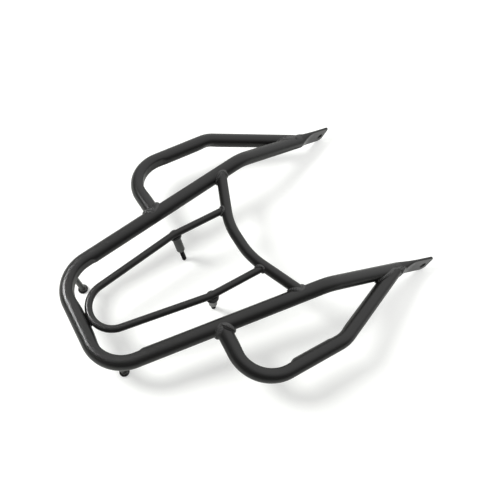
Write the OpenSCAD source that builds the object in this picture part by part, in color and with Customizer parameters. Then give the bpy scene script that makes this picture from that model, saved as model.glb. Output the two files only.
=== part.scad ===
// Motorcycle luggage rack: a bent tube deck with two grab handles, a curved cross tube and an
// inner rod loop. X points forwards, Y to the left and Z up, in millimetres. The rack stands on
// a level floor at z = 0, on its rear feet, its front studs and the ends of its front legs.
// Every piece is drawn in the deck's own plane first, with the origin in the middle of the
// rear bar's centre line, and is then tipped up and lifted by stand().

/* [Main frame tube] */
// Outer diameter of the main tube and of the grab handles
tube_d = 22; // [20:0.5:25]
// Wall thickness of the main tube and of the grab handles
tube_wall = 2; // [1.5:0.25:2.5]
// From the rear bar's centre line to the bends at the front of the deck
deck_length = 320; // [305:1:345]
// Width of the rear bar between the points where the rails' centre lines meet it
rear_width = 151; // [145:1:165]
// Angle at which each rail spreads away from the middle
rail_splay = 8; // [7:0.25:10]
// Bend radius of the two rear corners
rear_bend_r = 49.5; // [44:0.5:52]
// Angle at which the front legs drop below the deck
leg_drop = 24.3; // [22:0.1:27]
// Bend radius where the front legs leave the deck
leg_bend_r = 60; // [50:1:80]
// Length of a front leg from its bend to its tip
leg_length = 217; // [207:1:240]
// How far the inside of a tight bend is crushed flat
crush_depth = 3; // [1.6:0.1:3.4]
// How far that flat goes on along a rail or the long side of a handle
crush_hold = 7; // [2:1:12]
// Length over which it then fades out
crush_run = 7; // [5:1:14]

/* [Mounting tabs] */
// How far a tab's top edge leans in towards the middle, in degrees
tab_lean = 5.5; // [0:0.5:8]
// Diameter of the hole in each tab
tab_hole_d = 11; // [8.5:0.5:12]
// From the middle of that hole to the tip of the tab
tab_hole_inset = 13; // [12:0.5:18]
// How far that hole lies below the middle of the tab
tab_hole_drop = 2; // [0:0.5:4]
// Length of tube that is pressed quite flat
tab_flat = 38; // [32:1:48]
// Length over which the tube goes from round to flat
tab_taper = 34; // [26:1:40]
// Corner radius at the top of a tab's tip
tab_top_r = 6; // [3:0.5:8]
// Corner radius at the bottom of a tab's tip
tab_bottom_r = 10; // [7:0.5:12]

/* [Cross tube] */
// Outer diameter of the cross tube
cross_d = 16; // [14:0.5:18]
// Wall thickness of the cross tube
cross_wall = 1.5; // [1:0.25:2]
// From the rear bar to the cross tube's ends, along X
cross_end_x = 282; // [275:1:288]
// How far its middle lies behind its ends
cross_bow = 35.5; // [30:0.5:40]
// Width of its middle stretch, between the points where its bends begin to turn
cross_middle = 60; // [56:0.5:64]
// Bend radius of the cross tube
cross_bend_r = 110; // [90:1:112]
// Height of its centre line over that of the rails
cross_rise = 2; // [0:0.25:2.5]

/* [Rod loop] */
// Diameter of the round bar of the loop
rod_d = 10.5; // [9:0.25:12]
// Distance between the loop's two front legs
rod_spacing = 108.6; // [104:0.2:112]
// From the rear bar to the bends in the loop's legs
rod_bend_x = 168; // [160:1:175]
// Bend radius there
rod_bend_r = 40; // [30:1:60]
// Width of the loop's tail between the points where its legs meet it
rod_tail_width = 58.2; // [58:0.1:64]
// Bend radius of the tail
rod_tail_r = 34; // [30:0.5:34]
// Height of its centre line over that of the rails
rod_rise = 3; // [1:0.25:3.5]

/* [Grab handles] */
// From the rear bar to the handle's rear end, along the deck
handle_rear_x = 160.7; // [150:0.1:170]
// How far a handle's rear bend stands out from its rear end
handle_rear_reach = 93.2; // [85:0.1:100]
// How far that bend lies behind the rear end
handle_rear_back = 3.7; // [0:0.1:10]
// How far it lies below the rear end
handle_rear_fall = 8; // [4:0.1:14]
// How far a handle's front bend stands out from its front end
handle_front_reach = 55.5; // [48:0.5:60]
// How far that bend lies behind the front end
handle_front_back = 144; // [135:0.5:150]
// How far it lies above the front end
handle_front_lift = 33.3; // [25:0.1:40]
// From the taper of a front leg back to the middle of the handle's front end
handle_front_gap = 6.6; // [4:0.2:14]
// Height of the handle's front end over the leg's centre line
handle_front_rise = 2.5; // [0.5:0.5:3]
// Bend radius of a handle's rear bend
handle_bend_r1 = 52; // [46:1:58]
// Bend radius of a handle's front bend
handle_bend_r2 = 48; // [40:1:54]

/* [Front studs] */
// Diameter of the round flange under the rod loop
flange_d = 19.5; // [18:0.5:24]
// Thickness of that flange
flange_t = 4; // [3:0.25:5]
// Diameter of the sleeve under the flange
sleeve_d = 12.5; // [12:0.5:15]
// Length of the sleeve
sleeve_length = 40; // [36:1:44]
// Nominal diameter of the stud
stud_d = 7; // [6:0.5:8]
// How deep the stud sits in the sleeve
stud_seat = 16; // [10:1:24]
// From the rear bar to the point where the stud's axis crosses the deck's plane
stud_x = 170.8; // [165:0.1:176]
// How far that point lies to the side of the middle
stud_y = 55.3; // [52:0.1:57]
// How far the stud's lower end leans forwards, in degrees
stud_lean_front = 4.9; // [0:0.1:8]
// How far the stud's lower end leans in, in degrees
stud_lean_in = 7.3; // [0:0.1:10]

/* [Rear posts] */
// Diameter of the round bar of a rear post
post_d = 8; // [7:0.5:10]
// Where on the corner's bend a post stands, in degrees round the bend from the rear bar
post_turn = 51; // [44:0.5:54]
// How far the post's lower end leans forwards, in degrees
post_lean_front = 2.8; // [0:0.1:6]
// Diameter of the round foot
foot_d = 14.5; // [13:0.5:18]
// Thickness of the foot
foot_t = 3; // [2:0.25:4]

/* [Stand and welds] */
// Slope of the deck on a level floor, with its front up
deck_pitch = 4.75; // [4:0.25:6]
// Size of the weld beads at the cross tube's ends and the handles' rear ends
bead_r = 5.2; // [3:0.1:6]
// Size of the weld beads at the handles' front ends
front_bead_r = 4.2; // [3:0.1:5]
// Size of the weld beads round the ends of the rod loop
rod_bead_r = 3.8; // [2.4:0.1:4.2]
// Size of the weld beads round the posts and at the loop's tail
small_bead_r = 2.2; // [1.5:0.1:2.6]

/* [Hidden] */

LEFT = 1;
RIGHT = -1;
$fn = 48;
tube_r = tube_d / 2;
cross_r = cross_d / 2;
rod_r = rod_d / 2;
// Straight stretches run this far into the bends beside them, and bends are this much
// thinner, so that the pieces of one tube join on clean edges
lap = 0.4;
step = 0.02;
// The tabs' folds lie this much inside the end of the taper
fold_sink = 0.15;
// Weld beads keep this far off the bars that they join
bead_gap = 0.2;
// Cutters for copes reach this far beyond the piece that they cut
cut_reach = 3 * tube_d;
// Height of a bead's crown over a straight fillet, as a share of the bead's size
bead_crown = 0.14;
// Radius of the short beads on the flanges
flange_bead_r = 1.8;

// Vectors
function unit(v) = v / norm(v);
function flip(p, side) = [p.x, side * p.y, p.z];
function flip_all(points, side) = [for (p = points) flip(p, side)];

// Paths: points joined by straight runs, with a bend radius for each inner point
function heading(pts, i) = unit(pts[i + 1] - pts[i]);
function turn(pts, i) = acos(heading(pts, i - 1) * heading(pts, i));
function setback(pts, radii, i) =
    i == 0 || i == len(pts) - 1 ? 0 : radii[i] * tan(turn(pts, i) / 2) - lap;

// Main tube
function rail_y(x) = rear_width / 2 + x * tan(rail_splay);
bend_point = [deck_length, rail_y(deck_length), 0];
leg_axis = [cos(leg_drop) * cos(rail_splay), cos(leg_drop) * sin(rail_splay), -sin(leg_drop)];
leg_up = [sin(leg_drop) * cos(rail_splay), sin(leg_drop) * sin(rail_splay), cos(leg_drop)];
leg_round = leg_length - tab_flat - tab_taper;
main_points = concat(
    [bend_point + leg_round * leg_axis, bend_point, [0, rear_width / 2, 0]],
    flip_all([[0, rear_width / 2, 0], bend_point, bend_point + leg_round * leg_axis], RIGHT));
main_radii = [0, leg_bend_r, rear_bend_r, rear_bend_r, leg_bend_r, 0];
main_holds = [0, crush_hold, 0, crush_hold, 0];
// A tube pressed flat keeps its girth, so its height follows from its thickness
function flat_half_height(half_thickness) =
    half_thickness + (tube_r - half_thickness) * PI / 2;
tab_half_height = flat_half_height(tube_wall);

// Cross tube
cross_end = [cross_end_x, rail_y(cross_end_x), cross_rise];
cross_corner = [cross_end_x - cross_bow, cross_middle / 2, cross_rise];
cross_points = [cross_end, cross_corner, flip(cross_corner, RIGHT), flip(cross_end, RIGHT)];
cross_radii = [0, cross_bend_r, cross_bend_r, 0];
cross_axis = unit(cross_end - cross_corner);

// Rod loop: its tail touches the rear bar
rod_tail_x = sqrt(pow(tube_r + rod_r, 2) - pow(rod_rise, 2));
rod_y = rod_spacing / 2;
rod_end_x = cross_corner.x + (rod_y - cross_corner.y) * cross_axis.x / cross_axis.y;
rod_half = [
    [rod_end_x, rod_y, rod_rise],
    [rod_bend_x, rod_y, rod_rise],
    [rod_tail_x, rod_tail_width / 2, rod_rise]
];
rod_points = concat(rod_half, flip_all([rod_half[2], rod_half[1], rod_half[0]], RIGHT));
rod_radii = [0, rod_bend_r, rod_tail_r, rod_tail_r, rod_bend_r, 0];

// Grab handles: the rear end stops just outside the rail's centre line, where it is coped
handle_root = 2;
handle_rail_point = [handle_rear_x, rail_y(handle_rear_x), 0];
handle_leg_x = leg_round - handle_front_gap;
handle_end = bend_point + handle_leg_x * leg_axis + [0, 0, handle_front_rise];
handle_bend_1 = handle_rail_point + [-handle_rear_back, handle_rear_reach, -handle_rear_fall];
handle_bend_2 = handle_end + [-handle_front_back, handle_front_reach, handle_front_lift];
handle_points = [
    handle_rail_point + handle_root * unit(handle_bend_1 - handle_rail_point),
    handle_bend_1, handle_bend_2, handle_end
];
handle_radii = [0, handle_bend_r1, handle_bend_r2, 0];
handle_holds = [0, crush_hold, 0];

// Posts and studs lean by two angles, forwards and outwards at their lower ends
function down(lean, side) = unit([tan(lean.x), side * tan(lean.y), -1]);
stud_lean = [stud_lean_front, -stud_lean_in];
post_lean = [post_lean_front, 0];

// Height over the floor of a point given in the deck's plane, before the rack is lifted
function floor_z(p) = p.x * sin(deck_pitch) + p.z * cos(deck_pitch);
floor_up = [sin(deck_pitch), 0, cos(deck_pitch)];
tab_top = tab_half_height - fold_sink;
leg_side = [-sin(rail_splay), cos(rail_splay), 0];
tab_up = cos(tab_lean) * leg_up - sin(tab_lean) * leg_side;
tab_side = cos(tab_lean) * leg_side + sin(tab_lean) * leg_up;
// The edge of a tab's lower corner that touches the floor: a disc of the corner's radius,
// half a tab's thickness to the inner side
tab_low_centre = bend_point + (leg_length - tab_bottom_r) * leg_axis
    - (tab_top - tab_bottom_r) * tab_up - (tube_wall - step) * tab_side;
lift = tab_bottom_r * norm(cross(tab_side, floor_up)) - floor_z(tab_low_centre);
// The rack reaches from the back of the rear bar to the upper corners of the tabs' tips
tab_tip_centre = bend_point + (leg_length - tab_top_r) * leg_axis + (tab_top - tab_top_r) * tab_up
    - tube_wall * tab_side;
floor_x = [cos(deck_pitch), 0, -sin(deck_pitch)];
front_x = tab_tip_centre * floor_x + tab_top_r * norm(cross(tab_side, floor_x));
middle_x = (front_x - tube_r) / 2;
// How far along an axis the floor lies from a point, less what a disc's rim dips below its middle
function rim_dip(axis, r) = r * norm(cross(axis, floor_up));
function reach(p, axis, r) = (floor_z(p) + lift - rim_dip(axis, r)) / (-(axis * floor_up));

// Rear posts stand under the corner bends
corner_setback = rear_bend_r * tan((90 - rail_splay) / 2);
post_foot_point = [
    rear_bend_r * (1 - cos(post_turn)),
    rear_width / 2 - corner_setback + rear_bend_r * sin(post_turn), 0
];
foot_chamfer = 0.8;
post_length = reach(post_foot_point, down(post_lean, LEFT), foot_d / 2 - foot_chamfer) - foot_t;

// Studs hang below the bends of the rod loop
flange_sink = 1.2;
stud_top = [stud_x, stud_y, 0];
flange_drop = rod_r - rod_rise - flange_sink;
stud_chamfer = 1.6;
stud_reach = reach(stud_top, down(stud_lean, LEFT), stud_d / 2 - stud_chamfer);
sleeve_drop = flange_drop + flange_t;
stud_start = sleeve_drop + sleeve_length - stud_seat;
stud_clearance = 0.1;
// The stud is a little thicker where it is pressed into the sleeve
stud_root_d = stud_d + 0.6;
sleeve_chamfer = 2;

function clear_bend(points, i) = [for (k = [i - 1 : i + 1]) points[k]];

// Tips the deck up and moves it, so that the rack stands centred on the floor
module stand() {
    translate([-middle_x, 0, lift]) rotate([0, -deck_pitch, 0]) children();
}

// Puts a child's Z along an axis at a point
module aim(p, axis) {
    translate(p) rotate([0, acos(axis.z / norm(axis)), atan2(axis.y, axis.x)]) children();
}

// Puts a child in a frame given by its origin and its X and Y directions
module frame(o, x, y) {
    z = cross(x, y);
    multmatrix([[x.x, y.x, z.x, o.x], [x.y, y.y, z.y, o.y], [x.z, y.z, z.z, o.z]]) children();
}

// Section of a crushed bend: a circle with a flat on the side of the bend's centre
module crushed_section(r, flat) {
    intersection() {
        circle(r);
        translate([-flat, -r - 1]) square([flat + r + 1, 2 * r + 2]);
    }
}

// What is cut from a straight run beside a crushed bend, in a frame at the bend's end
module crush_wedge(r, flat, hold) {
    linear_extrude(2 * r + 2, center = true)
        polygon([
            [-flat - step / 2, 2 * lap], [-flat - step / 2, -hold], [-r, -hold - crush_run],
            [-r - 2, -hold - crush_run], [-r - 2, 2 * lap]
        ]);
}

// One straight run of a path, with its crushed flats
module run(pts, radii, i, r, flat, hold) {
    d = heading(pts, i);
    a = pts[i] + setback(pts, radii, i) * d;
    b = pts[i + 1] - setback(pts, radii, i + 1) * d;
    difference() {
        aim(a, d) cylinder(h = norm(b - a), r = r);
        if (flat < r && i > 0) {
            e = heading(pts, i - 1);
            frame(a + lap * d, unit(e - (e * d) * d), -d) crush_wedge(r, flat, hold);
        }
        if (flat < r && i < len(pts) - 2) {
            e = heading(pts, i + 1);
            frame(b - lap * d, -unit(e - (e * d) * d), d) crush_wedge(r, flat, hold);
        }
    }
}

// One bend of a path
module bend(pts, radii, i, r, flat) {
    d = heading(pts, i - 1);
    e = heading(pts, i);
    outward = -unit(e - (e * d) * d);
    centre = pts[i] - (setback(pts, radii, i) + lap) * d - radii[i] * outward;
    frame(centre, outward, d)
        rotate_extrude(angle = turn(pts, i), $fn = 96)
            translate([radii[i], 0])
                if (flat < r) crushed_section(r - step, flat);
                else circle(r - step);
}

// A bar along a path, round in its straight runs and flattened in its bends. The flats go on
// for a length of their own into each run.
module path_bar(pts, radii, r, flat, holds = []) {
    for (i = [0 : len(pts) - 2]) run(pts, radii, i, r, flat, holds[i]);
    for (i = [1 : len(pts) - 2]) bend(pts, radii, i, r, flat);
}

// The frame of a front leg: X along it, Z up across it, turned about X by the tab's lean
module on_leg(side) {
    translate(flip(bend_point, side)) rotate([0, 0, side * rail_splay])
        rotate([0, leg_drop, 0]) rotate([side * tab_lean, 0, 0]) children();
}

// Ring of the taper from round to flat: an oval of full girth, cut off at its sides
function taper_ring(x, side_y, half_height, r, n) = [
    for (k = [0 : n - 1])
        let (a = 360 * (k + 0.5) / n)
            [x, sign(cos(a)) * min(abs(r * cos(a)), side_y), half_height * sin(a)]
];

// Skin over rings of n points each, n divisible by 4. Its ends are ladders across the ring.
module skin(rings) {
    n = len(rings[0]);
    m = len(rings);
    across = [for (i = [-n / 4 : n / 4 - 2])
        [(i + n) % n, (i + 1 + n) % n, (n / 2 - 2 - i + n) % n, (n / 2 - 1 - i + n) % n]];
    polyhedron(
        points = [for (ring = rings) for (p = ring) p],
        faces = concat(
            [for (q = across) [q[0], q[1], q[2]]],
            [for (q = across) [q[0], q[2], q[3]]],
            [for (j = [0 : m - 2]) for (k = [0 : n - 1])
                [j * n + k, (j + 1) * n + k, (j + 1) * n + (k + 1) % n]],
            [for (j = [0 : m - 2]) for (k = [0 : n - 1])
                [j * n + k, (j + 1) * n + (k + 1) % n, j * n + (k + 1) % n]],
            [for (q = across) (m - 1) * n * [1, 1, 1] + [q[2], q[1], q[0]]],
            [for (q = across) (m - 1) * n * [1, 1, 1] + [q[3], q[2], q[0]]]));
}

// Round-to-flat taper of a leg: its sides are scooped in, steeply at first
module leg_taper(r, end_y, end_height, n, stations) {
    skin(concat(
        [taper_ring(leg_round - 1, r, r, r, n)],
        [for (s = [0 : stations])
            let (t = s / stations, y = end_y + (r - end_y) * pow(1 - t, 2),
                 h = r + (end_height - r) * (1 - pow(1 - t, 2)))
                taper_ring(leg_round + 0.5 + t * tab_taper, y, h, r, n)]));
}

// The flat end of a leg: its folds are round, and so are the two corners of its tip
module tab_plate() {
    length = tab_flat + 2 * lap;
    top = tab_top;
    fold = top - tube_wall;
    difference() {
        translate([leg_length - length, 0, 0]) rotate([90, 0, 90]) linear_extrude(length) {
            square([2 * tube_wall, 2 * fold], center = true);
            for (z = [-fold, fold]) translate([0, z]) circle(tube_wall - step, $fn = 24);
        }
        rotate([90, 0, 0]) linear_extrude(3 * tube_wall, center = true) {
            tab_corner(leg_length, top, tab_top_r, 1);
            tab_corner(leg_length, top, tab_bottom_r, -1);
        }
    }
}

// What is taken off a corner of the tab's tip to leave it round
module tab_corner(x, top, r, way) {
    difference() {
        translate([x - r, way > 0 ? top - r : -top - 1]) square([r + 1, r + 1]);
        translate([x - r, way * (top - r)]) circle(r);
    }
}

module main_frame_tube() {
    flat = tube_r - crush_depth;
    color("#1d1d1f") stand() difference() {
        union() {
            path_bar(main_points, main_radii, tube_r, flat, main_holds);
            for (side = [LEFT, RIGHT]) on_leg(side) {
                leg_taper(tube_r - step, tube_wall + step, tab_half_height, 40, 7);
                tab_plate();
            }
        }
        path_bar(main_points, main_radii, tube_r - tube_wall, flat - tube_wall, main_holds);
        for (side = [LEFT, RIGHT]) on_leg(side) {
            leg_taper(tube_r - tube_wall - step, 0.2, tab_half_height - tube_wall, 20, 4);
            translate([leg_length - tab_hole_inset, 0, -tab_hole_drop]) rotate([90, 0, 0])
                cylinder(h = 6 * tube_wall, d = tab_hole_d, center = true);
        }
    }
}

// A long bar along a rail's straight, for coping what meets it
module rail_cutter(side, x) {
    p = flip([x, rail_y(x), 0], side);
    d = unit(flip(bend_point - [0, rear_width / 2, 0], side));
    aim(p - cut_reach * d, d) cylinder(h = 2 * cut_reach, r = tube_r);
}

// The same along a front leg
module leg_cutter(side) {
    on_leg(side) rotate([0, 90, 0]) cylinder(h = leg_round, r = tube_r);
}

module cross_cutter(side) {
    aim(flip(cross_corner, side), flip(cross_axis, side))
        cylinder(h = norm(cross_end - cross_corner), r = cross_r);
}

module cross_tube() {
    color("#1d1d1f") stand() difference() {
        path_bar(cross_points, cross_radii, cross_r, cross_r);
        path_bar(cross_points, cross_radii, cross_r - cross_wall, cross_r);
        for (side = [LEFT, RIGHT]) rail_cutter(side, cross_end_x);
    }
}

module rod_bar() {
    path_bar(rod_points, rod_radii, rod_r, rod_r);
}

module inner_rod_loop() {
    color("#1d1d1f") stand() difference() {
        rod_bar();
        for (side = [LEFT, RIGHT]) cross_cutter(side);
    }
}

module grab_handle(side) {
    pts = flip_all(handle_points, side);
    flat = tube_r - crush_depth;
    color("#1d1d1f") stand() difference() {
        path_bar(pts, handle_radii, tube_r, flat, handle_holds);
        path_bar(pts, handle_radii, tube_r - tube_wall, flat - tube_wall, handle_holds);
        rail_cutter(side, handle_rear_x);
        leg_cutter(side);
    }
}

// A child with its Z down along the stud's axis
module on_stud(side, drop) {
    axis = down(stud_lean, side);
    aim(flip(stud_top, side) + drop * axis, axis) children();
}

module stud_flange(side) {
    color("#1d1d1f") stand() difference() {
        on_stud(side, flange_drop) cylinder(h = flange_t, d = flange_d);
        rod_bar();
    }
}

module stud_sleeve(side) {
    color("#1d1d1f") stand() on_stud(side, sleeve_drop) difference() {
        union() {
            cylinder(h = sleeve_length - sleeve_chamfer, d = sleeve_d);
            translate([0, 0, sleeve_length - sleeve_chamfer])
                cylinder(h = sleeve_chamfer, d1 = sleeve_d, d2 = sleeve_d - 2 * sleeve_chamfer);
        }
        translate([0, 0, sleeve_length - stud_seat])
            cylinder(h = stud_seat + 1, d = stud_root_d + stud_clearance);
    }
}

module front_stud(side) {
    length = stud_reach - stud_start;
    color("#0c0c0d") stand() on_stud(side, stud_start) {
        cylinder(h = stud_seat, d = stud_root_d);
        cylinder(h = length - stud_chamfer, d = stud_d);
        translate([0, 0, length - stud_chamfer])
            cylinder(h = stud_chamfer, d1 = stud_d, d2 = stud_d - 2 * stud_chamfer);
    }
}

// A child with its Z down along the post's axis
module on_post(side, drop) {
    axis = down(post_lean, side);
    aim(flip(post_foot_point, side) + drop * axis, axis) children();
}

module corner_cutter(side) {
    bend(main_points, main_radii, side == LEFT ? 2 : 3, tube_r + step, tube_r + step);
}

module rear_post(side) {
    color("#1d1d1f") stand() difference() {
        on_post(side, 0) cylinder(h = post_length, d = post_d);
        corner_cutter(side);
    }
}

module rear_foot(side) {
    color("#1d1d1f") stand() on_post(side, post_length) rotate_extrude($fn = 64)
        polygon([
            [0, 0], [foot_d / 2 - foot_chamfer, 0], [foot_d / 2, foot_chamfer],
            [foot_d / 2, foot_t - foot_chamfer], [foot_d / 2 - foot_chamfer, foot_t], [0, foot_t]
        ]);
}

module foot_weld(side) {
    color("#232325") stand() on_post(side, post_length) rotate_extrude($fn = 64)
        polygon([
            [post_d / 2, 0], [post_d / 2 + small_bead_r, 0],
            [post_d / 2 + small_bead_r * 0.35, -small_bead_r * 0.35], [post_d / 2, -small_bead_r]
        ]);
}

// The line where a branch of radius rb, from o along a, meets the outside of a bar of radius rm
// along m through c: the point at angle f round the branch
function saddle(o, a, rb, c, m, rm, f) =
    let (
        u = unit(cross(a, m)), v = cross(a, u),
        w = o + rb * (cos(f) * u + sin(f) * v) - c,
        wp = w - (w * m) * m, ap = a - (a * m) * m,
        k = wp * ap, q = k * k - (ap * ap) * (wp * wp - rm * rm)
    )
    w + c + ((-k + sqrt(max(q, 0))) / (ap * ap)) * a;

// The unit normal of a bar along m through c at a point p
function bar_normal(p, c, m) = unit((p - c) - ((p - c) * m) * m);
// The point moved out or in to a distance r from that bar's axis
function onto_bar(p, c, m, r) = p + (r - norm((p - c) - ((p - c) * m) * m)) * bar_normal(p, c, m);
// A direction turned from d1 to d2 by a share s of the angle f between them
function fan(d1, d2, f, s) = (sin((1 - s) * f) * d1 + sin(s * f) * d2) / sin(f);

// Section of a weld bead at a point p of that line: from the line up the branch, over the
// bead's crown and down to the bar. The crown stands a little proud of a straight fillet.
function bead_ring(p, t, o, a, rb, c, m, rm, size) =
    let (
        nb = bar_normal(p, o, a), nm = bar_normal(p, c, m),
        up = unit(cross(nb, t)), out = unit(cross(t, nm)),
        f = min(acos(max(-1, min(1, up * out))), 170)
    )
    concat(
        [p + bead_gap * unit(nb + nm)],
        [onto_bar(p + size * up, o, a, rb + bead_gap)],
        [for (s = [0.2 : 0.2 : 0.8])
            p + size * (cos(f / 2) / cos((s - 0.5) * f) + bead_crown * sin(180 * s))
                * unit(fan(up, out, f, s))],
        [onto_bar(p + size * out, c, m, rm + bead_gap)]);

// A weld bead along that line: a rope of ripples, clear of both bars by bead_gap
function bead_rings(o, a, rb, c, m, rm, size, n) = [
    for (i = [0 : n - 1])
        let (f = 360 * (i + 0.5) / n)
        bead_ring(saddle(o, a, rb, c, m, rm, f),
            unit(saddle(o, a, rb, c, m, rm, f + 3) - saddle(o, a, rb, c, m, rm, f - 3)),
            o, a, rb, c, m, rm, size * (i % 2 == 0 ? 1 : 0.84))
];

// Closed loop of rings
module loop_skin(rings) {
    n = len(rings[0]);
    m = len(rings);
    polyhedron(
        points = [for (ring = rings) for (p = ring) p],
        faces = concat(
            [for (j = [0 : m - 1]) for (k = [0 : n - 1])
                [j * n + k, j * n + (k + 1) % n, ((j + 1) % m) * n + (k + 1) % n]],
            [for (j = [0 : m - 1]) for (k = [0 : n - 1])
                [j * n + k, ((j + 1) % m) * n + (k + 1) % n, ((j + 1) % m) * n + k]]));
}

module bead(o, a, rb, c, m, rm, size, n) {
    loop_skin(bead_rings(o, a, rb, c, m, rm, size, n));
}

module handle_rear_weld(side) {
    o = flip(handle_rail_point, side);
    a = unit(flip(handle_bend_1 - handle_rail_point, side));
    m = unit(flip(bend_point - [0, rear_width / 2, 0], side));
    color("#232325") stand() bead(o, a, tube_r, o, m, tube_r + 0.2, bead_r, 32);
}

module handle_front_weld(side) {
    o = flip(handle_end, side);
    a = unit(flip(handle_bend_2 - handle_end, side));
    color("#232325") stand()
        bead(o, a, tube_r, flip(bend_point, side), flip(leg_axis, side), tube_r, front_bead_r, 72);
}

module cross_tube_weld(side) {
    c = flip([cross_end_x, rail_y(cross_end_x), 0], side);
    m = unit(flip(bend_point - [0, rear_width / 2, 0], side));
    color("#232325") stand()
        bead(flip(cross_end, side), -flip(cross_axis, side), cross_r, c, m, tube_r, bead_r, 28);
}

module rod_weld(side) {
    color("#232325") stand()
        bead(flip(rod_half[0], side), [-1, 0, 0], rod_r, flip(cross_corner, side),
            flip(cross_axis, side), cross_r, rod_bead_r, 24);
}

module post_weld(side) {
    o = flip(post_foot_point, side);
    m = unit([sin(post_turn), side * cos(post_turn), 0]);
    color("#232325") stand()
        bead(o, down(post_lean, side), post_d / 2, o, m, tube_r, small_bead_r, 20);
}

// Short bead with round ends between two points
module stitch(a, b, r) {
    aim(a, b - a) cylinder(h = norm(b - a), r = r - step);
    translate(a) sphere(r);
    translate(b) sphere(r);
}

module rod_tail_weld() {
    half = 9;
    low = -2;
    x = tube_r - 0.2;
    color("#232325") stand() difference() {
        stitch([x, -half, low], [x, half, low], small_bead_r);
        aim([0, -cut_reach, 0], [0, 1, 0]) cylinder(h = 2 * cut_reach, r = tube_r);
        rod_bar();
    }
}

// Short weld beads in the corner between the rod and the flange's top, on both sides
module flange_weld(side) {
    top = flip(stud_top, side) + flange_drop * down(stud_lean, side);
    half = sqrt(pow(rod_r, 2) - pow(rod_rise - top.z, 2));
    color("#232325") stand() difference() {
        for (way = [-1, 1])
            let (y = side * rod_y + way * (half + 0.5))
                stitch([top.x - 4, y, top.z + 0.5], [top.x + 4, y, top.z + 0.5], flange_bead_r);
        on_stud(side, flange_drop) cylinder(h = flange_t + 4, d = flange_d + 10);
        rod_bar();
    }
}

main_frame_tube();
cross_tube();
inner_rod_loop();
grab_handle(LEFT);  // left_grab_handle
grab_handle(RIGHT);  // right_grab_handle
stud_flange(LEFT);  // left_stud_flange
stud_flange(RIGHT);  // right_stud_flange
stud_sleeve(LEFT);  // left_stud_sleeve
stud_sleeve(RIGHT);  // right_stud_sleeve
front_stud(LEFT);  // left_front_stud
front_stud(RIGHT);  // right_front_stud
rear_post(LEFT);  // left_rear_post
rear_post(RIGHT);  // right_rear_post
rear_foot(LEFT);  // left_rear_foot
rear_foot(RIGHT);  // right_rear_foot
handle_rear_weld(LEFT);  // left_handle_rear_weld
handle_rear_weld(RIGHT);  // right_handle_rear_weld
handle_front_weld(LEFT);  // left_handle_front_weld
handle_front_weld(RIGHT);  // right_handle_front_weld
cross_tube_weld(LEFT);  // left_cross_tube_weld
cross_tube_weld(RIGHT);  // right_cross_tube_weld
rod_weld(LEFT);  // left_rod_weld
rod_weld(RIGHT);  // right_rod_weld
rod_tail_weld();
flange_weld(LEFT);  // left_flange_weld
flange_weld(RIGHT);  // right_flange_weld
post_weld(LEFT);  // left_post_weld
post_weld(RIGHT);  // right_post_weld
foot_weld(LEFT);  // left_foot_weld
foot_weld(RIGHT);  // right_foot_weld
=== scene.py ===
import math

import bmesh
import bpy
import numpy as np
from mathutils import Matrix, Vector


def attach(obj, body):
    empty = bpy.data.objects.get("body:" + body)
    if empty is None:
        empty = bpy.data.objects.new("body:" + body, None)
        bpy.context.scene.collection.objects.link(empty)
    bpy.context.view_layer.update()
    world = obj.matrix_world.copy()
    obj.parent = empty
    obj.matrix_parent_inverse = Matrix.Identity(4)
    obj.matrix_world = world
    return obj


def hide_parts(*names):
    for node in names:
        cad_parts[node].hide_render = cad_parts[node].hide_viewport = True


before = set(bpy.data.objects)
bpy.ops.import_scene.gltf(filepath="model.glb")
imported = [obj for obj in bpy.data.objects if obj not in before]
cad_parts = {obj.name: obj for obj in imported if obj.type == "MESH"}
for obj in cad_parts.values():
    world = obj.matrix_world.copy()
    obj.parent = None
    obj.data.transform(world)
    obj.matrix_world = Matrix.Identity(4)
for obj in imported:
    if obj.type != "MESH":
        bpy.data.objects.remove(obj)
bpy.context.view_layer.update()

# Camera
# It stands behind the rack's right rear corner and looks down on it at about sixty degrees,
# a little rolled. The lens is set for a square frame.
camera_place = Vector((-0.27080, -0.29866, 0.77494))
camera_aim = Vector((0.00195, 0.01395, 0.04808))
camera_roll = math.radians(11.756)
camera_data = bpy.data.cameras.new("camera")
camera_data.sensor_width = 36.0
camera_data.lens = 41.531
camera = bpy.data.objects.new("camera", camera_data)
bpy.context.scene.collection.objects.link(camera)
camera.matrix_world = (
    Matrix.Translation(camera_place)
    @ (camera_aim - camera_place).to_track_quat("-Z", "Y").to_matrix().to_4x4()
    @ Matrix.Rotation(camera_roll, 4, "Z")
)
bpy.context.scene.camera = camera


# Main frame tube
# One steel tube of 22 mm, bent into the rear bar, the two rails and the two front legs. The
# bender crushes the inside of each bend a little, and each leg's end is pressed flat and drilled.
deck_pitch = math.radians(4.75)
deck_origin = np.array([-257.235, 0.0, 58.667])
tube_r, tube_wall = 11.0, 2.0
deck_length, rear_width, rail_splay = 320.0, 151.0, math.radians(8.0)
rear_bend_r, leg_bend_r, leg_drop, leg_length = 49.5, 60.0, math.radians(24.3), 217.0
crush_depth, crush_hold, crush_run = 3.0, 7.0, 7.0
crush_edge, crush_fade = 0.3, 6 * crush_run
tab_flat, tab_taper, tab_lean = 38.0, 34.0, math.radians(5.5)
tab_top_r, tab_bottom_r, tab_chamfer = 6.0, 10.0, 0.35
hole_r, hole_inset, hole_drop, hole_chamfer = 5.5, 13.0, 2.0, 0.3
leg_round = leg_length - tab_flat - tab_taper


def stand(points):
    """Points in millimetres in the deck's own plane, turned about Y by the deck's slope, moved
    onto the floor and given in metres."""
    c, s = math.cos(deck_pitch), math.sin(deck_pitch)
    return (points @ np.array([[c, 0, s], [0, 1, 0], [-s, 0, c]]) + deck_origin) * 0.001


def unit(v):
    """Vectors divided by their length."""
    v = np.asarray(v, float)
    return v / np.linalg.norm(v, axis=-1, keepdims=True)


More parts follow.
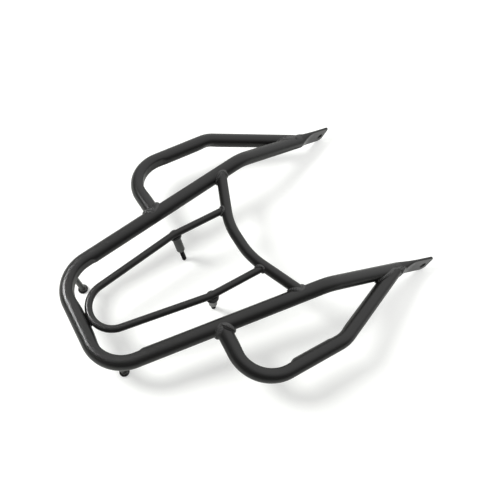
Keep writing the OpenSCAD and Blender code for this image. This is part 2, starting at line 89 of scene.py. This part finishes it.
def mirror(v):
    """The same points or directions on the other side of the rack: y changes its sign."""
    return np.asarray(v, float) * np.array([1.0, -1.0, 1.0])


def rail_y(x):
    """How far out a rail's axis lies at a distance x in front of the rear bar: half the rear
    width plus x times the tangent of the splay."""
    return rear_width / 2 + x * math.tan(rail_splay)


def bent_path(corners, radii, across, pace=1.6):
    """Stations about a pace apart, along straight runs joined by round bends. At a turn through
    angle a, the way to the bend's centre is inward cos a less heading sin a. Gives each
    station's place, heading, direction across and distance along, and each bend as start, end,
    radius, inward, heading."""
    corners = np.asarray(corners, float)
    headings = unit(np.diff(corners, axis=0))
    side = unit(across - (across @ headings[0]) * headings[0])
    here, length, rows, bends = corners[0], 0.0, [], []
    for i, heading in enumerate(headings):
        last = i + 1 == len(headings)
        turn = 0.0 if last else math.acos(heading @ headings[i + 1])
        there = corners[i + 1] - radii[i + 1] * math.tan(turn / 2) * heading
        run = np.linalg.norm(there - here)
        t = np.linspace(0, run, math.ceil(run / pace) + 1)[: None if last else -1, None]
        rows.append(np.hstack([here + t * heading, heading + 0 * t, side + 0 * t, length + t]))
        length, here = length + run, there
        if last:
            break
        r, inward = radii[i + 1], unit(headings[i + 1] - (headings[i + 1] @ heading) * heading)
        normal = np.cross(heading, inward)
        a = np.linspace(0, turn, math.ceil(r * turn / pace) + 1)[:, None]
        face = inward * np.cos(a) - heading * np.sin(a)
        turned = (side @ inward) * face + (side @ normal) * normal
        row = np.hstack([here + r * (inward - face), heading * np.cos(a) + inward * np.sin(a),
                         turned, length + r * a])
        rows.append(row[:-1])
        bends.append((length, length + r * turn, r, inward, heading))
        here, side, length = row[-1, :3], row[-1, 6:9], length + r * turn
    rows = np.vstack(rows)
    return rows[:, :3], rows[:, 3:6], rows[:, 6:9], rows[:, 9], bends


def bent_tube(path, radius, depth, holds, around=64):
    """Rings round a path, each a circle whose points beyond a plane on the inner side of a bend
    are pushed back to it with a soft edge. The plane lies a crush depth inside the circle in
    the bend and for a hold beyond it, and runs out from there in an S. Where there is no
    hold it fades out over a longer way, half of it inside the bend."""
    place, heading, side, along, bends = path
    a = np.linspace(0, 2 * math.pi, around, endpoint=False)[:, None]
    spoke = side[:, None] * np.cos(a) + np.cross(heading, side)[:, None] * np.sin(a)
    rings = place[:, None] + radius * spoke
    for (start, end, r, inward, ahead), (before, after) in zip(bends, holds):
        a = np.clip(along - start, 0, end - start)[:, None] / r
        face = inward * np.cos(a) - ahead * np.sin(a)
        past = [np.clip((way - hold) / crush_run if hold else way / crush_fade + 0.5, 0, 1)
                for way, hold in ((start - along, before), (along - end, after))]
        flat = depth * np.prod([1 - t * t * (3 - 2 * t) for t in past], axis=0)[:, None]
        over = radius * (spoke * face[:, None]).sum(-1) - (radius - flat)
        push = np.where(flat > 0, (over + np.hypot(over, crush_edge * flat)) / 2, 0)
        rings = rings - push[..., None] * face[:, None]
    return rings


def pressed_end(foot, axis, side, up, around=64, pace=1.2):
    """Rings along a leg's flat end. A section is two straight flats joined by two round folds, and
    its girth stays that of the round tube: half thickness h falls from the tube's radius with
    the square of what is left of the taper, and the flats grow by a quarter turn of that loss.
    The end is rounded by an arc above and a larger one below, and chamfered."""
    arc = np.sin(np.linspace(0, math.pi / 2, 15))[1:]
    x = np.concatenate([np.arange(leg_round + 1, leg_length - tab_bottom_r, pace),
                        leg_length - tab_bottom_r + tab_bottom_r * arc])
    left = np.clip(1 - (x - leg_round) / tab_taper, 0, 1)
    h = (tube_wall + (tube_r - tube_wall) * left**2)[:, None]
    h = h - tab_chamfer * np.clip((x[:, None] - leg_length + tab_chamfer) / tab_chamfer, 0, 1)
    a = np.linspace(0, 2 * math.pi, around, endpoint=False)
    girth = tube_r * np.arccos(np.clip(np.abs(np.cos(a)), 0, 1))
    flat = math.pi / 2 * (tube_r - h)
    fold = np.clip((girth - flat) / h, 0, math.pi / 2)
    wide = np.sign(np.cos(a)) * h * np.cos(fold)
    tall = np.minimum(girth, flat) + h * np.sin(fold)
    for way, r in ((1, tab_top_r), (-1, tab_bottom_r)):
        reach = np.clip(x - leg_length + r, 0, r)
        drop = (r - np.sqrt(r * r - reach**2))[:, None]
        tall = np.where(way * np.sin(a) > 0, tall * (1 - drop / (flat + h)), tall)
    tall = tall * np.sign(np.sin(a))
    return foot + x[:, None, None] * axis + wide[..., None] * side + tall[..., None] * up


def skin(rings, loop=False, crease=50):
    """A mesh over rings of points: quads join each ring to the next, and flat faces close the
    ends unless the rings come back to the first. Its faces are turned outwards by the sign of
    the volume that they hold. Edges with a turn above the crease in degrees stay sharp."""
    m, n = rings.shape[:2]
    i, k = np.meshgrid(np.arange(m if loop else m - 1), np.arange(n), indexing="ij")
    j, l = (i + 1) % m, (k + 1) % n
    quads = np.stack([i * n + k, i * n + l, j * n + l, j * n + k], -1).reshape(-1, 4)
    points = stand(rings.reshape(-1, 3))
    p = points[quads] - points.mean(0)
    one, two = np.cross(p[:, 0], p[:, 1]) * p[:, 2], np.cross(p[:, 0], p[:, 2]) * p[:, 3]
    volume = one.sum() + two.sum()
    ends = [list(range(n))[::-1], list(range((m - 1) * n, m * n))]
    faces = quads.tolist() + ([] if loop else ends)
    if volume < 0:
        faces = [f[::-1] for f in faces]
    mesh = bpy.data.meshes.new("skin")
    mesh.from_pydata(points.tolist(), [], faces)
    mesh.shade_smooth()
    mesh.set_sharp_from_angle(angle=math.radians(crease))
    return mesh


def spokes(axis, around):
    """Directions round an axis. At angle a each is u cos a plus v sin a, where u is square to the
    axis and to a direction that no axis here follows, and v is square to both."""
    u = unit(np.cross(axis, [0.3, 1.0, 0.2]))
    a = np.linspace(0, 2 * math.pi, around, endpoint=False)[:, None]
    return u * np.cos(a) + np.cross(axis, u) * np.sin(a)


def lathe(profile, at, axis, around=64):
    """Rings of a profile spun round an axis. A pair of distance and radius gives the place plus
    the distance times the axis, plus the radius times each spoke."""
    axis = unit(axis)
    profile = np.asarray(profile, float)
    return at + profile[:, :1, None] * axis + profile[:, 1:, None] * spokes(axis, around)


def add_node(tree, kind, values, **settings):
    """A shader node with its settings, and with constants on the sockets that are named."""
    node = tree.nodes.new("ShaderNode" + kind)
    for setting, value in settings.items():
        setattr(node, setting, value)
    for socket, value in values.items():
        node.inputs[socket].default_value = value
    return node


def paint(name, colour, roughness, peel, grain):
    """Baked satin enamel on steel: its black drifts a little over patches a hand wide, its skin
    has a fine orange-peel bump, and its gloss varies with the same grain."""
    material = bpy.data.materials.new(name)
    material.use_nodes = True
    tree = material.node_tree
    shader, link = tree.nodes["Principled BSDF"], tree.links.new
    deep, pale = ([c * share for c in colour] + [1.0] for share in (0.8, 1.25))
    gloss_drift = 0.02
    place = add_node(tree, "TexCoord", {})
    patches = add_node(tree, "TexNoise", {"Scale": 14.0, "Detail": 3.0})
    tone = add_node(tree, "Mix", {}, data_type="RGBA")
    tone.inputs["A"].default_value, tone.inputs["B"].default_value = deep, pale
    link(place.outputs["Object"], patches.inputs["Vector"])
    link(patches.outputs["Fac"], tone.inputs["Factor"])
    link(tone.outputs["Result"], shader.inputs["Base Color"])
    grains = add_node(tree, "TexNoise", {"Scale": grain, "Detail": 2.0})
    gloss = add_node(tree, "MapRange", {
        "From Min": 0.3, "From Max": 0.7,
        "To Min": roughness - gloss_drift, "To Max": roughness + gloss_drift})
    bump = add_node(tree, "Bump", {"Distance": peel})
    link(place.outputs["Object"], grains.inputs["Vector"])
    link(grains.outputs["Fac"], gloss.inputs["Value"])
    link(gloss.outputs["Result"], shader.inputs["Roughness"])
    link(grains.outputs["Fac"], bump.inputs["Height"])
    link(bump.outputs["Normal"], shader.inputs["Normal"])
    return material


def fit(name, mesh, finish, slot, *nodes):
    """Puts a finished mesh into the scene under a name, in place of the nodes it stands for."""
    mesh.name = name
    piece = bpy.data.objects.new(name, mesh)
    bpy.context.scene.collection.objects.link(piece)
    piece.data.materials.clear()
    piece.data.materials.append(finish)
    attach(piece, "root")
    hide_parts(*nodes)
    return piece


enamel = paint("satin_black_enamel", (0.0085, 0.0083, 0.0080), 0.34, 0.000004, 350.0)
leg_axis = np.array([math.cos(leg_drop) * math.cos(rail_splay),
                     math.cos(leg_drop) * math.sin(rail_splay), -math.sin(leg_drop)])
leg_side = np.array([-math.sin(rail_splay), math.cos(rail_splay), 0.0])
leg_up = np.cross(leg_axis, leg_side)
tab_side = math.cos(tab_lean) * leg_side + math.sin(tab_lean) * leg_up
tab_up = math.cos(tab_lean) * leg_up - math.sin(tab_lean) * leg_side
leg_bend = np.array([deck_length, rail_y(deck_length), 0.0])
rear_corner = np.array([0.0, rear_width / 2, 0.0])
main_path = bent_path(
    [leg_bend + leg_round * leg_axis, leg_bend, rear_corner,
     mirror(rear_corner), mirror(leg_bend), mirror(leg_bend + leg_round * leg_axis)],
    [0, leg_bend_r, rear_bend_r, rear_bend_r, leg_bend_r, 0], leg_side)
holds = [(0, crush_hold), (crush_hold, 0), (0, crush_hold), (crush_hold, 0)]
# The flat rings start on the same side as the tube's rings and run round the same way.
first, final = main_path[2][0], main_path[2][-1]
over = np.cross(main_path[1][0], first)
under = np.cross(main_path[1][-1], final)
right_side, right_up = mirror(tab_side), mirror(tab_up)
left_end = pressed_end(leg_bend, leg_axis, tab_side * np.sign(first @ tab_side), tab_up)
right_end = pressed_end(mirror(leg_bend), mirror(leg_axis),
                        right_side * np.sign(final @ right_side), right_up)
if over @ tab_up < 0:
    left_end = np.roll(left_end[:, ::-1], 1, axis=1)
if under @ right_up < 0:
    right_end = np.roll(right_end[:, ::-1], 1, axis=1)
main_rings = np.concatenate(
    [left_end[::-1], bent_tube(main_path, tube_r, crush_depth, holds), right_end])
main_tube = fit("bent_main_tube", skin(main_rings), enamel, "painted_tube", "main_frame_tube")
hole = leg_bend + (leg_length - hole_inset) * leg_axis - hole_drop * tab_up
# The bit that drills a tab widens outside its faces, which chamfers the hole's rims.
half_drill = [(9, hole_r + 6), (tube_wall + 1, hole_r + 1.2), (tube_wall - hole_chamfer, hole_r)]
drill = [(-z, r) for z, r in half_drill] + half_drill[::-1]
for at, axis in ((hole, tab_side), (mirror(hole), mirror(tab_side))):
    bit = bpy.data.objects.new("bit", skin(lathe(drill, at, axis)))
    bpy.context.scene.collection.objects.link(bit)
    cut = main_tube.modifiers.new("hole", "BOOLEAN")
    cut.operation, cut.solver, cut.object = "DIFFERENCE", "EXACT", bit
    cut_tube = main_tube.evaluated_get(bpy.context.evaluated_depsgraph_get())
    drilled = bpy.data.meshes.new_from_object(cut_tube)
    main_tube.modifiers.clear()
    main_tube.data = drilled
    bpy.data.objects.remove(bit)
main_tube.data.set_sharp_from_angle(angle=math.radians(35))

# Cross tube
# A thinner steel tube of 16 mm, bent into a bow that points rearwards. Both of its ends are
# coped to the rails and welded to them.
cross_r, cross_rise, cross_bend_r = 8.0, 2.0, 110.0
cross_end_x, cross_bow, cross_middle = 282.0, 35.5, 60.0
upright = np.array([0.0, 0.0, 1.0])
cross_end = np.array([cross_end_x, rail_y(cross_end_x), cross_rise])
cross_corner = np.array([cross_end_x - cross_bow, cross_middle / 2, cross_rise])
cross_axis = unit(cross_end - cross_corner)
cross_path = bent_path([cross_end, cross_corner, mirror(cross_corner), mirror(cross_end)],
                       [0, cross_bend_r, cross_bend_r, 0], upright)
fit("bowed_cross_tube", skin(bent_tube(cross_path, cross_r, 0.0, [], around=56)), enamel,
    "painted_tube", "cross_tube")

# Rod loop
# One bar of round steel, bent into a long loop. Its two ends are coped to the cross tube and its
# tail lies against the rear bar.
rod_r, rod_rise, rod_y, rod_bend_x, rod_tail_width = 5.25, 3.0, 54.3, 168.0, 58.2
rod_bend_r, rod_tail_r = 40, 34
rod_tail_x = math.sqrt((tube_r + rod_r) ** 2 - rod_rise**2)
rod_end_x = cross_corner[0] + (rod_y - cross_corner[1]) * cross_axis[0] / cross_axis[1]
rod_half = np.array([[rod_end_x, rod_y, rod_rise], [rod_bend_x, rod_y, rod_rise],
                     [rod_tail_x, rod_tail_width / 2, rod_rise]])
rod_path = bent_path(np.concatenate([rod_half, mirror(rod_half)[::-1]]),
                     [0, rod_bend_r, rod_tail_r, rod_tail_r, rod_bend_r, 0], upright, pace=1.3)
fit("bent_rod_loop", skin(bent_tube(rod_path, rod_r, 0.0, [], around=44)), enamel,
    "painted_tube", "inner_rod_loop")

# Grab handles
# One bent tube on each side, of the same size as the main tube. Its rear end is coped to the
# rail and its front end to the leg, where the joint is filled up and dressed round.
handle_rear_x, handle_front_inset, handle_front_rise = 160.7, 6.6, 2.5
handle_rear_bend_r, handle_front_bend_r, handle_start = 52, 48, 2
handle_rear = np.array([handle_rear_x, rail_y(handle_rear_x), 0.0])
handle_front = (leg_bend + (leg_round - handle_front_inset) * leg_axis
                + np.array([0.0, 0.0, handle_front_rise]))
handle_bends = (handle_rear + np.array([-3.7, 93.2, -8.0]),
                handle_front + np.array([-144.0, 55.5, 33.3]))
handle_corners = np.array([handle_rear + handle_start * unit(handle_bends[0] - handle_rear),
                           *handle_bends, handle_front])
dome_angle, dome_rise = np.radians(np.arange(8, 80, 8))[:, None, None], 0.3 * tube_r
for name, turn_over, front_hold in (("left", np.array, 0.0), ("right", mirror, crush_hold)):
    handle_path = bent_path(turn_over(handle_corners),
                            [0, handle_rear_bend_r, handle_front_bend_r, 0], upright)
    handle_holds = [(0, crush_hold), (front_hold, 0)]
    rings = bent_tube(handle_path, tube_r, crush_depth, handle_holds)[:-2]
    end, ahead = handle_path[0][-3], handle_path[1][-1]
    dome = (end + (rings[-1] - end) * np.cos(dome_angle)
            + dome_rise * ahead * np.sin(dome_angle))
    fit(name + "_bent_handle", skin(np.concatenate([rings, dome])), enamel, "painted_tube",
        name + "_grab_handle")

# Flanges, sleeves and studs
# A disc is welded under each of the rod loop's bends, with a round sleeve below it, and a threaded
# stud of blackened steel is pressed into the sleeve. They lean forwards and inwards.
lean_forward, lean_inward = math.radians(4.9), math.radians(7.3)
stud_axis = unit([math.tan(lean_forward), -math.tan(lean_inward), -1.0])
stud_top = np.array([170.8, 55.3, 0.0])
flange_r, flange_t, flange_seat = 9.2, 4.0, 1.2
flange_drop = rod_r - rod_rise - flange_seat
sleeve_drop, sleeve_r, sleeve_length = flange_drop + flange_t, 6.25, 40.0
stud_length, stud_r, stud_seat, thread_pitch, thread_depth = 74.05, 3.5, 2, 1.0, 0.5
blackened = paint("blackened_steel", (0.004, 0.004, 0.0045), 0.26, 0.00002, 1500.0)


def thread(start, end, radius, pitch, depth, around=40, chamfer=1.6):
    """Rings of a screw thread: at distance z and angle a, the radius falls from the crest by a
    depth times a rounded triangle wave of z over the pitch less a over a full turn. A chamfer
    limits it at the tip."""
    z = np.arange(start, end + 1e-6, pitch / 10)[:, None]
    a = np.linspace(0, 1, around, endpoint=False)[None]
    wave = 0.5 - 0.5 * np.cos(2 * math.pi * (z / pitch - a))
    r = radius - depth * wave**0.8 * np.clip((z - start) / pitch, 0, 1)
    return z + 0 * a, np.minimum(r, radius - chamfer + np.maximum(end - z, 0))


# Points of the rounded edges: distance from the end, and distance in from the full radius.
disc_edge = [(0, 0.5), (0.15, 0.15), (0.5, 0)]
sleeve_edge = [(2.2, 0), (1.7, 0.15), (0.2, 1.6), (0, 2.0)]
disc = ([(z, flange_r - inset) for z, inset in disc_edge]
        + [(flange_t - z, flange_r - inset) for z, inset in disc_edge[::-1]])
sleeve = [(-0.5, sleeve_r)] + [(sleeve_length - z, sleeve_r - inset) for z, inset in sleeve_edge]
for name, turn_over in (("left", np.array), ("right", mirror)):
    axis, top = turn_over(stud_axis), turn_over(stud_top)
    fit(name + "_disc", skin(lathe(disc, top + flange_drop * axis, axis)), enamel,
        "painted_tube", name + "_stud_flange")
    fit(name + "_sleeve_bar", skin(lathe(sleeve, top + sleeve_drop * axis, axis)), enamel,
        "painted_tube", name + "_stud_sleeve")
    z, r = thread(sleeve_length - stud_seat, stud_length - sleeve_drop, stud_r,
                  thread_pitch, thread_depth)
    rings = (top + sleeve_drop * axis + z[..., None] * axis
             + r[..., None] * spokes(axis, z.shape[1]))
    fit(name + "_threaded_stud", skin(rings), blackened, "stud", name + "_front_stud")

# Rear posts and feet
# A short round steel bar is welded under each rear corner and to a round foot. They keep the
# shape of the solids and get the rack's enamel.
post_turn, post_lean, post_r = math.radians(51), math.radians(2.8), 4.0
setback = rear_bend_r * math.tan((math.pi / 2 - rail_splay) / 2)
post_top = np.array([rear_bend_r * (1 - math.cos(post_turn)),
                     rear_width / 2 - setback + rear_bend_r * math.sin(post_turn), 0.0])
post_axis = unit([math.tan(post_lean), 0.0, -1.0])
for node in ("left_rear_post", "right_rear_post", "left_rear_foot", "right_rear_foot"):
    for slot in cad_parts[node].material_slots:
        slot.material = enamel

# Weld beads
# Every joint is closed by a bead laid by hand along the line where the two bars meet, a rope of
# overlapping ripples that is painted over with the rest.
weld_enamel = paint("enamel_over_weld", (0.009, 0.0088, 0.0085), 0.16, 0.00016, 900.0)
weld_enamel.node_tree.nodes["Principled BSDF"].inputs["Specular IOR Level"].default_value = 0.9
rear_bead_r, front_bead_r, cross_bead_r, rod_bead_r = 4.8, 3.8, 3.6, 2.9
small_bead_r, flange_bead_r = 2.2, 1.8
bead_sink, ripple_length = 0.3, 2.0


def across(v, m):
    """The part of vectors that is square to a direction m: v less v dot m times m."""
    return v - (v @ m)[..., None] * m


def onto_bar(p, c, m, r):
    """Points moved out or in to a distance r from a bar's axis, by scaling the part of their
    way from it that is square to it."""
    w = across(p - c, m)
    return p + (r / np.linalg.norm(w, axis=-1, keepdims=True) - 1) * w


def ripple(phase, depth):
    """Height of a rope of ripples: one plus a depth times a half circle over each whole step of
    the phase, less about that circle's mean height."""
    t = 2 * (phase % 1) - 1
    return 1 + depth * (np.sqrt(1 - 0.96 * t * t) - 0.7)


def weld_bead(o, a, rb, c, m, rm, size, wander, around=420, depth=0.42, bulge=0.14):
    """Rings along the line where a branch of radius rb from o along a meets a bar of radius rm
    through c along m. The line is where a parallel to a at radius rb leaves the bar: a quadratic
    in the way along it. A section fans out from the line, from up the branch to along the bar,
    and its size follows curved ripples with a slow drift from the welder's hand."""
    turn = np.linspace(0, 2 * math.pi, around, endpoint=False)[:, None]
    u = unit(np.cross(a, m))
    w = o + rb * (np.cos(turn) * u + np.sin(turn) * np.cross(a, u)) - c
    wp, ap = across(w, m), across(a, m)
    k, q = wp @ ap, ap @ ap
    root = np.sqrt(np.maximum(k * k - q * ((wp * wp).sum(-1) - rm * rm), 0))
    p = w + c + ((root - k) / q)[:, None] * a
    t = unit(np.roll(p, -3, axis=0) - np.roll(p, 3, axis=0))
    nb, nm = unit(across(p - o, a)), unit(across(p - c, m))
    up, out = unit(np.cross(nb, t)), unit(np.cross(t, nm))
    widest = 2.97
    f = np.minimum(np.arccos(np.clip((up * out).sum(-1), -1, 1)), widest)[:, None, None]
    step = np.linalg.norm(np.roll(p, -1, axis=0) - p, axis=-1)
    along = (np.cumsum(step) - step)[:, None]
    s = np.linspace(0, 1, 13)
    ripples = round(step.sum() / ripple_length)
    phase = along / step.sum() * ripples + 0.5 * (2 * s - 1) ** 2
    drift = 1 + 0.08 * np.sin(2 * turn + wander) + 0.05 * np.sin(5 * turn + 2 * wander)
    girth = size * drift * ripple(phase, depth * np.sin(math.pi * s) ** 0.5)
    s = s[:, None]
    arm = np.sin((1 - s) * f) * up[:, None] + np.sin(s * f) * out[:, None]
    crown = np.cos(f / 2) / np.cos((s - 0.5) * f) + bulge * np.sin(math.pi * s)
    ring = p[:, None] + girth[..., None] * crown * unit(arm)
    ring[:, 0] = onto_bar(ring[:, 0], o, a, rb - bead_sink)
    ring[:, -1] = onto_bar(ring[:, -1], c, m, rm - bead_sink)
    return np.concatenate([p[:, None] - bead_sink * unit(nb + nm)[:, None], ring], axis=1)


def stitch(start, end, r, around=28, depth=0.3):
    """Rings of a short rippled bead between two points. Its stations crowd to the ends by a
    cosine, and its radius is a quarter circle's at each end, times the ripples."""
    start, end = np.asarray(start, float), np.asarray(end, float)
    length = np.linalg.norm(end - start) + 2 * r
    z = length * (1 - np.cos(np.linspace(0.04, math.pi - 0.04, 90))) / 2
    tip = np.minimum(np.minimum(z, length - z) / r, 1)
    rr = r * np.sqrt(1 - (1 - tip) ** 2) * ripple(z / ripple_length, depth)
    return lathe(np.stack([z - r, rr], 1), start, end - start, around)


rail = unit(leg_bend - rear_corner)
corner_heading = np.array([math.sin(post_turn), math.cos(post_turn), 0.0])
# Each joint: where the branch starts, its direction and radius, a point of the bar, the bar's
# direction and radius, and the bead's size.
joints = {
    "handle_rear": (handle_rear, unit(handle_bends[0] - handle_rear), tube_r,
                    handle_rear, rail, tube_r, rear_bead_r),
    "handle_front": (handle_front, unit(handle_bends[1] - handle_front), tube_r,
                     leg_bend, leg_axis, tube_r, front_bead_r),
    "cross_tube": (cross_end, -cross_axis, cross_r,
                   cross_end * np.array([1.0, 1.0, 0.0]), rail, tube_r, cross_bead_r),
    "rod": (rod_half[0], np.array([-1.0, 0.0, 0.0]), rod_r,
            cross_corner, cross_axis, cross_r, rod_bead_r),
    "post": (post_top, post_axis, post_r, post_top, corner_heading, tube_r, small_bead_r),
}
stitch_half, stitch_rise, stitch_gap = 4, 0.5, 0.5
for name, turn_over, wander in (("left", np.array, 0.4), ("right", mirror, 2.1)):
    for shift, (joint, (o, a, rb, c, m, rm, size)) in enumerate(joints.items()):
        rings = weld_bead(turn_over(o), turn_over(a), rb, turn_over(c), turn_over(m), rm, size,
                          wander + shift)
        fit(name + "_" + joint + "_bead", skin(rings, loop=True), weld_enamel, "weld",
            name + "_" + joint + "_weld")
    x, _, z = stud_top + flange_drop * stud_axis
    half = math.sqrt(rod_r**2 - (rod_rise - z) ** 2) + stitch_gap
    y = turn_over(np.array([0.0, rod_y, 0.0]))[1]
    one, two = (skin(stitch([x - stitch_half, y + way * half, z + stitch_rise],
                            [x + stitch_half, y + way * half, z + stitch_rise], flange_bead_r))
                for way in (-1, 1))
    joined = bmesh.new()
    joined.from_mesh(one)
    joined.from_mesh(two)
    joined.to_mesh(one)
    joined.free()
    fit(name + "_flange_bead", one, weld_enamel, "weld", name + "_flange_weld")
    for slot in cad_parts[name + "_foot_weld"].material_slots:
        slot.material = weld_enamel
tail_seat, tail_half, tail_drop = 0.2, 9, 2
tail_ends = [[tube_r - tail_seat, y, -tail_drop] for y in (-tail_half, tail_half)]
fit("rod_tail_bead", skin(stitch(*tail_ends, small_bead_r)), weld_enamel, "weld",
    "rod_tail_weld")

# Floor
# A sheet of pale card under the rack. To the camera it glows a little brighter than it is to the
# rack, and most of all at the front: painted light, so that it goes white and still holds the
# shadows. In reflections, the band of it that the tabs' faces show glows brighter too: painted
# light that gives those faces a brighter reflection.
far, floor_drop = 6, 0.0002
floor_mesh = bpy.data.meshes.new("floor")
floor_mesh.from_pydata([(-far, -far, 0), (far, -far, 0), (far, far, 0), (-far, far, 0)], [],
                       [(0, 1, 2, 3)])
floor = bpy.data.objects.new("floor", floor_mesh)
bpy.context.scene.collection.objects.link(floor)
floor.location.z = -floor_drop
card = bpy.data.materials.new("pale_card")
card.use_nodes = True
card_tree = card.node_tree
card_shader, link = card_tree.nodes["Principled BSDF"], card_tree.links.new
card_shader.inputs["Base Color"].default_value = (0.66, 0.67, 0.645, 1.0)
card_shader.inputs["Roughness"].default_value = 0.9
card_shader.inputs["Specular IOR Level"].default_value = 0.0
card_shader.inputs["Emission Color"].default_value = (1.0, 1.0, 1.0, 1.0)
band_middle, band_half, reflection_glow_strength = 0.26, 0.035, 0.5
seen = add_node(card_tree, "LightPath", {})
spot = add_node(card_tree, "TexCoord", {})
way = add_node(card_tree, "SeparateXYZ", {})
# Camera rays see a painted glow that grows towards the front and pales the shadows there.
glow = add_node(card_tree, "MapRange", {
    "From Min": 0.0, "From Max": 0.28, "To Min": 0.38, "To Max": 0.58})
lift = add_node(card_tree, "Math", {}, operation="MULTIPLY")
# A band across x glows to glossy rays only: a painted light that the tabs' faces reflect as a
# brighter sheen.
band = add_node(card_tree, "Math", {1: band_middle, 2: band_half}, operation="COMPARE")
painted_reflection_glow = add_node(card_tree, "Math", {1: reflection_glow_strength}, operation="MULTIPLY")
both = add_node(card_tree, "Math", {}, operation="MULTIPLY_ADD")
link(spot.outputs["Object"], way.inputs[0])
link(way.outputs["X"], glow.inputs["Value"])
link(seen.outputs["Is Camera Ray"], lift.inputs[0])
link(glow.outputs["Result"], lift.inputs[1])
link(way.outputs["X"], band.inputs[0])
link(band.outputs["Value"], painted_reflection_glow.inputs[0])
link(seen.outputs["Is Glossy Ray"], both.inputs[0])
link(painted_reflection_glow.outputs["Value"], both.inputs[1])
link(lift.outputs["Value"], both.inputs[2])
link(both.outputs["Value"], card_shader.inputs["Emission Strength"])
floor.data.materials.append(card)

# Light
# A large soft box high behind the rack's left rear corner casts the shadows, a strip lamp nearer
# to the rear bar draws the bright line along it, and the room is bright at the front and overhead
# and dark on the photographer's side.
key_data = bpy.data.lights.new("soft_box", "AREA")
key_data.shape = "DISK"
key_data.size = 0.5
key_data.energy = 22.0
key = bpy.data.objects.new("soft_box", key_data)
bpy.context.scene.collection.objects.link(key)
key.location = Vector((-0.55, 0.38, 0.74)) * 1.6
key.rotation_euler = (-key.location).to_track_quat("-Z", "Y").to_euler()
key.visible_glossy = False

strip_ends = Vector((-0.602, 0.143, 0.480)), Vector((-0.420, 0.460, 0.360))
strip_target = Vector((-0.25, 0.02, 0.05))
strip_data = bpy.data.lights.new("strip", "AREA")
strip_data.shape = "RECTANGLE"
strip_data.size, strip_data.size_y = 0.09, 0.385
strip_data.energy = 0.19
strip_data.spread = math.radians(28)
strip = bpy.data.objects.new("strip", strip_data)
bpy.context.scene.collection.objects.link(strip)
strip_middle = (strip_ends[0] + strip_ends[1]) / 2
back = (strip_middle - strip_target).normalized()
run = (strip_ends[1] - strip_ends[0]).cross(back).cross(back).normalized()
strip_turn = Matrix((run.cross(back), run, back)).transposed().to_4x4()
strip.matrix_world = Matrix.Translation(strip_middle) @ strip_turn
strip.visible_diffuse = False

world = bpy.data.worlds.new("room")
bpy.context.scene.world = world
world.use_nodes = True
room_tree = world.node_tree
sky, link = room_tree.nodes["Background"], room_tree.links.new
sky.inputs["Color"].default_value = (1.0, 1.0, 1.0, 1.0)
ray = add_node(room_tree, "LightPath", {})
aim = add_node(room_tree, "TexCoord", {})
towards = add_node(room_tree, "VectorMath", {1: (0.65, 0.35, 0.675)}, operation="DOT_PRODUCT")
dim = add_node(room_tree, "MapRange", {
    "From Min": 0.1, "From Max": 0.85, "To Min": 0.10, "To Max": 1.1},
    interpolation_type="SMOOTHSTEP")
pick = add_node(room_tree, "Mix", {"B": 1.0}, data_type="FLOAT")
link(aim.outputs["Generated"], towards.inputs[0])
link(towards.outputs["Value"], dim.inputs["Value"])
link(ray.outputs["Is Camera Ray"], pick.inputs["Factor"])
link(dim.outputs["Result"], pick.inputs["A"])
link(pick.outputs["Result"], sky.inputs["Strength"])

bpy.context.scene.view_settings.view_transform = "Standard"
